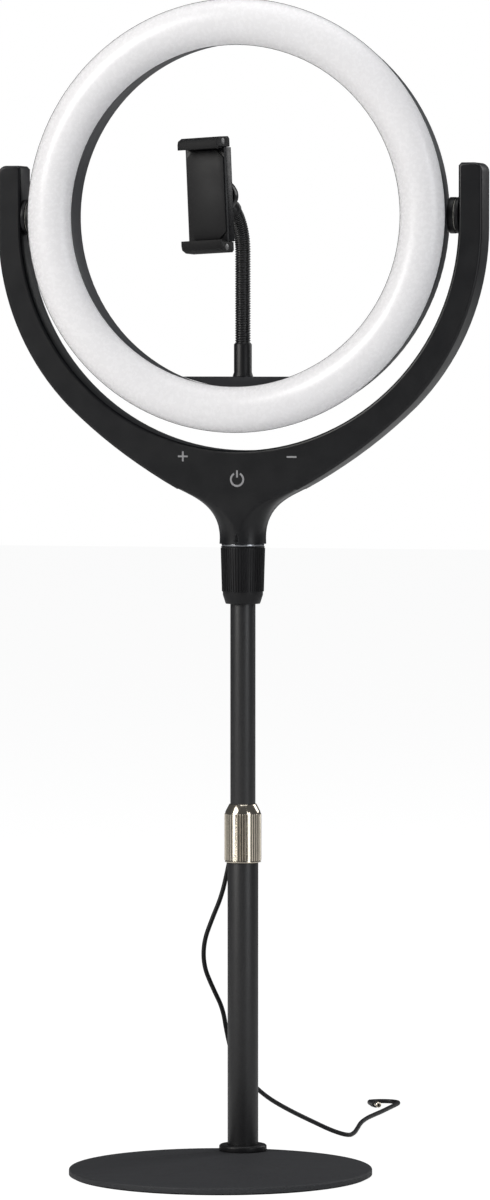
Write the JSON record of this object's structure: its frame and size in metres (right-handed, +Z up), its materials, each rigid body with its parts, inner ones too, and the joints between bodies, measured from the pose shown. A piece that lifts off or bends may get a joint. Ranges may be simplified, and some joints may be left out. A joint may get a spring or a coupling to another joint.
{
  "type": "ring light",
  "caption": "Ring light in a tilting U-shaped yoke on a telescopic pole with a round table base, a phone holder on a gooseneck inside the ring, and a supply cable.",
  "frame": {"origin": "on the table, under the pole's axis", "axes": "+Z up along the pole, -Y towards the side the ring faces, +X to the right as seen from that side"},
  "size_m": [0.347, 0.5193, 0.8041],
  "materials": {
    "powder_coat": "fine textured powder coat, dark grey",
    "satin_metal": "satin black",
    "tube_black": "satin black tube",
    "foam": "closed-cell foam",
    "steel": "zinc-plated",
    "nylon": "natural nylon",
    "nickel": "polished warm nickel",
    "cable_rubber": "black cable jacket",
    "spring_steel": "drawn wire",
    "washer_silver": "bright ring",
    "collar_plastic": "black, ribbed",
    "yoke_plastic": "satin dark grey",
    "screw_black": "black oxide",
    "circuit_board": "green circuit board",
    "icon_grey": "grey print",
    "pivot_black": "black",
    "ring_plastic": "dark grey",
    "diffuser_white": "milky white",
    "led_white_board": "white circuit board",
    "led_lamp": "LED chip",
    "gooseneck_metal": "black flexible sleeve",
    "socket_plastic": "black",
    "channel_metal": "bright edge",
    "holder_plastic": "black",
    "holder_rubber": "dark pad with bevelled corners",
    "jaw_plastic": "textured black",
    "jaw_rubber": "ribbed rubber"
  },
  "bodies": {
    "root": {"base_plate": "powder_coat", "base_pad": "foam", "base_screw": "steel", "foot_flange": "satin_metal", "lower_tube": "tube_black", "foot_insert": "steel", "lock_collar": "steel", "collet": "nylon", "power_cable": "cable_rubber", "plug_grip": "cable_rubber", "plug_barrel": "nickel"},
    "clamp_nut": {"clamp_nut": "nickel"},
    "pole_upper": {"upper_tube": "tube_black", "guide_bush": "nylon", "cable_grommet": "cable_rubber", "feed_lead": "cable_rubber", "swivel_clips": "spring_steel"},
    "yoke": {"stem_collet": "nylon", "collar_washer": "washer_silver", "yoke_front": "yoke_plastic", "yoke_back": "yoke_plastic", "yoke_screws": "screw_black", "control_board": "circuit_board", "touch_springs": "spring_steel", "touch_icons": "icon_grey", "arm_lead": "cable_rubber", "pivot_bushes": "pivot_black", "friction_washers": "nylon"},
    "collar_nut": {"collar_nut": "collar_plastic"},
    "ring": {"ring_shell": "ring_plastic", "diffuser": "diffuser_white", "led_board": "led_white_board", "leds": "led_lamp", "ring_screws": "screw_black", "pivot_hub_left": "pivot_black", "pivot_hub_right": "pivot_black", "pivot_nuts": "steel", "hub_screws": "screw_black", "holder_bracket": "ring_plastic", "bracket_screws": "screw_black", "neck_base": "satin_metal"},
    "neck": {"neck_sleeve": "gooseneck_metal", "neck_ferrule": "satin_metal", "ball_stud": "steel"},
    "liner": {"ball_liner": "nylon"},
    "socket_nut": {"socket_nut": "socket_plastic"},
    "holder": {"clamp_socket": "socket_plastic", "clamp_channel": "channel_metal", "clamp_body": "holder_plastic", "clamp_pad": "holder_rubber", "lower_jaw": "jaw_plastic", "lower_jaw_pin": "steel", "lower_jaw_pad": "jaw_rubber", "clamp_springs": "spring_steel"},
    "upper_jaw": {"upper_jaw": "jaw_plastic", "upper_jaw_pin": "steel", "upper_jaw_pad": "jaw_rubber", "jaw_slider": "holder_plastic"}
  },
  "joints": [
    {"name": "clamp_nut_turn", "type": "hinge", "parent": "root", "child": "clamp_nut", "pos_m": [0, 0, 0.227], "axis": [0, 0, 1], "range_deg": [0, 270]},
    {"name": "pole_slide", "type": "slide", "parent": "root", "child": "pole_upper", "axis": [0, 0, 1], "range_m": [-0.12, 0.02], "deforming": ["power_cable"]},
    {"name": "yoke_swivel", "type": "hinge", "parent": "pole_upper", "child": "yoke", "pos_m": [0, 0, 0.41], "axis": [0, 0, 1], "range_deg": [-170, 170]},
    {"name": "collar_nut_turn", "type": "hinge", "parent": "yoke", "child": "collar_nut", "pos_m": [0, 0, 0.405], "axis": [0, 0, 1], "range_deg": [0, 270]},
    {"name": "ring_tilt", "type": "hinge", "parent": "yoke", "child": "ring", "pos_m": [0, -0.004, 0.6546], "axis": [1, 0, 0], "range_deg": [-90, 90]},
    {"name": "gooseneck_bend", "type": "hinge", "parent": "ring", "child": "neck", "pos_m": [0, 0, 0.6], "axis": [1, 0, 0], "range_deg": [-30, 30], "deforming": ["neck_sleeve"]},
    {"name": "holder_tilt", "type": "hinge", "parent": "neck", "child": "liner", "pos_m": [-0.0055, -0.02587, 0.66822], "axis": [0.9771, -0.2077, 0.0454], "range_deg": [-75, 5]},
    {"name": "holder_spin", "type": "hinge", "parent": "liner", "child": "holder", "pos_m": [-0.0055, -0.02587, 0.66822], "axis": [0.2079, 0.9781, 0], "continuous": true},
    {"name": "socket_nut_turn", "type": "hinge", "parent": "holder", "child": "socket_nut", "pos_m": [-0.0055, -0.02587, 0.66822], "axis": [0.2079, 0.9781, 0], "range_deg": [0, 180]},
    {"name": "jaw_slide", "type": "slide", "parent": "holder", "child": "upper_jaw", "axis": [-0.0444, 0.0094, 0.999], "range_m": [0, 0.022], "stiffness_N_per_m": 300, "springref_m": -0.015, "deforming": ["clamp_springs"]}
  ]
}
